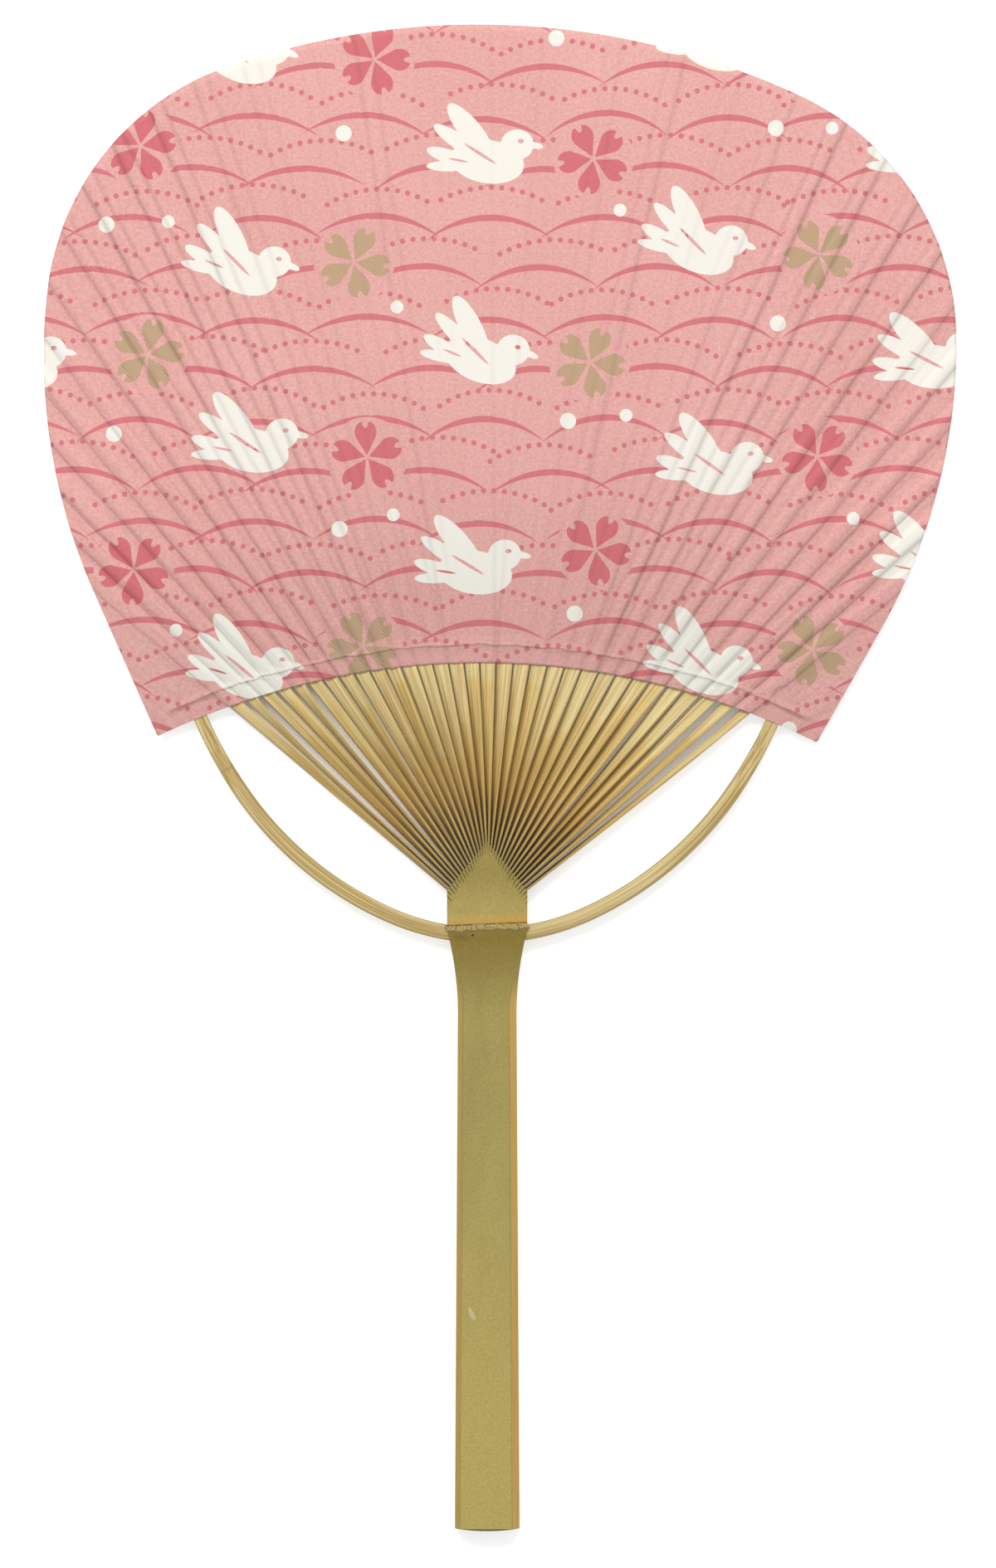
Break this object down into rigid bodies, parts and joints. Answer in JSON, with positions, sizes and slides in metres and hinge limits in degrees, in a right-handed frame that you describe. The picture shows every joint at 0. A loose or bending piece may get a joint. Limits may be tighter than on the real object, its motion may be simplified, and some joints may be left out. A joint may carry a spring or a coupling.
{
  "type": "uchiwa fan",
  "caption": "Rigid round hand fan: a flat bamboo handle split into twisted ribs, spread by a bow through its node and faced with paper on both sides.",
  "frame": {"origin": "on the plane of the handle's flat back, on its centre line, at the node", "axes": "+Y along the handle from its butt to the top of the leaf, +Z out of the front, +X to the right seen from the front"},
  "size_m": [0.2274, 0.3754, 0.0055],
  "materials": {
    "bamboo_skin": "waxed skin",
    "split_bamboo": "split and planed",
    "bamboo_bow": "scraped",
    "printed_paper": "printed, matt",
    "plain_paper": "matt",
    "cotton_thread": "twisted"
  },
  "bodies": {
    "root": {"handle": "bamboo_skin", "bow": "bamboo_bow", "lacing_thread": "cotton_thread", "front_paper": "printed_paper", "back_paper": "plain_paper", "rib_01": "split_bamboo", "rib_02": "split_bamboo", "rib_03": "split_bamboo", "rib_04": "split_bamboo", "rib_05": "split_bamboo", "rib_06": "split_bamboo", "rib_07": "split_bamboo", "rib_08": "split_bamboo", "rib_09": "split_bamboo", "rib_10": "split_bamboo", "rib_11": "split_bamboo", "rib_12": "split_bamboo", "rib_13": "split_bamboo", "rib_14": "split_bamboo", "rib_15": "split_bamboo", "rib_16": "split_bamboo", "rib_17": "split_bamboo", "rib_18": "split_bamboo", "rib_19": "split_bamboo", "rib_20": "split_bamboo", "rib_21": "split_bamboo", "rib_22": "split_bamboo", "rib_23": "split_bamboo", "rib_24": "split_bamboo", "rib_25": "split_bamboo", "rib_26": "split_bamboo", "rib_27": "split_bamboo", "rib_28": "split_bamboo", "rib_29": "split_bamboo", "rib_30": "split_bamboo", "rib_31": "split_bamboo", "rib_32": "split_bamboo"}
  },
  "joints": []
}
